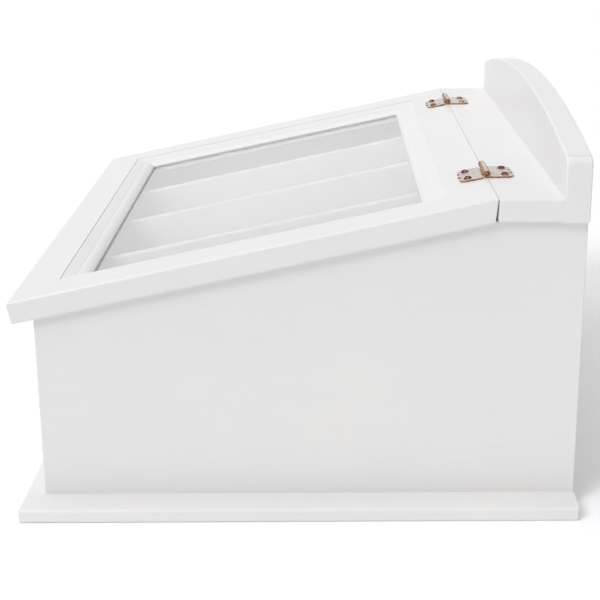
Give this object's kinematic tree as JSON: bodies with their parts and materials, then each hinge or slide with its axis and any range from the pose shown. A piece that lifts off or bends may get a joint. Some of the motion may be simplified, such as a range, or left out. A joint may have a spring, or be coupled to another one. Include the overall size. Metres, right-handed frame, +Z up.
{
  "type": "jewellery chest with drawers",
  "caption": "Desk-shaped jewellery chest with a sloping hinged glass lid over divided compartments, a level shelf with an arched crest at the back, and drawers in the front.",
  "frame": {"origin": "centre of the base board's underside", "axes": "+Z up, -Y out of the drawer fronts, +X to the chest's right-hand side as seen from the front"},
  "size_m": [0.342, 0.2925, 0.206],
  "materials": {
    "white_paint": "satin white paint",
    "glass": "clear polished",
    "bronze": "antique bronze, rubbed",
    "steel": "bright zinc",
    "beech": "raw turned dowel"
  },
  "bodies": {
    "case": {"base_board": "white_paint", "left_side_panel": "white_paint", "right_side_panel": "white_paint", "back_panel": "white_paint", "front_rail": "white_paint", "drawer_partition": "white_paint", "compartment_floor": "white_paint", "left_divider": "white_paint", "centre_divider": "white_paint", "right_divider": "white_paint", "top_shelf": "white_paint", "crest_board": "white_paint", "shelf_dowels": "beech", "crest_dowels": "beech", "base_screws": "steel", "left_hinge_shelf_leaf": "bronze", "left_hinge_pin": "bronze", "right_hinge_shelf_leaf": "bronze", "right_hinge_pin": "bronze", "shelf_hinge_screws": "bronze"},
    "lid": {"lid_front_rail": "white_paint", "lid_back_rail": "white_paint", "lid_left_stile": "white_paint", "lid_right_stile": "white_paint", "glass_pane": "glass", "glass_bead_front": "white_paint", "glass_bead_back": "white_paint", "glass_bead_left": "white_paint", "glass_bead_right": "white_paint", "left_hinge_lid_leaf": "bronze", "right_hinge_lid_leaf": "bronze", "lid_hinge_screws": "bronze"},
    "left_drawer": {"left_drawer_front": "white_paint", "left_drawer_outer_side": "white_paint", "left_drawer_inner_side": "white_paint", "left_drawer_back": "white_paint", "left_drawer_bottom": "white_paint", "left_drawer_knob": "bronze", "left_drawer_knob_screw": "steel"},
    "right_drawer": {"right_drawer_front": "white_paint", "right_drawer_outer_side": "white_paint", "right_drawer_inner_side": "white_paint", "right_drawer_back": "white_paint", "right_drawer_bottom": "white_paint", "right_drawer_knob": "bronze", "right_drawer_knob_screw": "steel"}
  },
  "joints": [
    {"name": "lid_hinge", "type": "hinge", "parent": "case", "child": "lid", "pos_m": [0, 0.09817, 0.1701], "axis": [-1, 0, 0], "range_deg": [0, 154]},
    {"name": "left_drawer_slide", "type": "slide", "parent": "case", "child": "left_drawer", "axis": [0, -1, 0], "range_m": [0, 0.19]},
    {"name": "right_drawer_slide", "type": "slide", "parent": "case", "child": "right_drawer", "axis": [0, -1, 0], "range_m": [0, 0.19]}
  ]
}
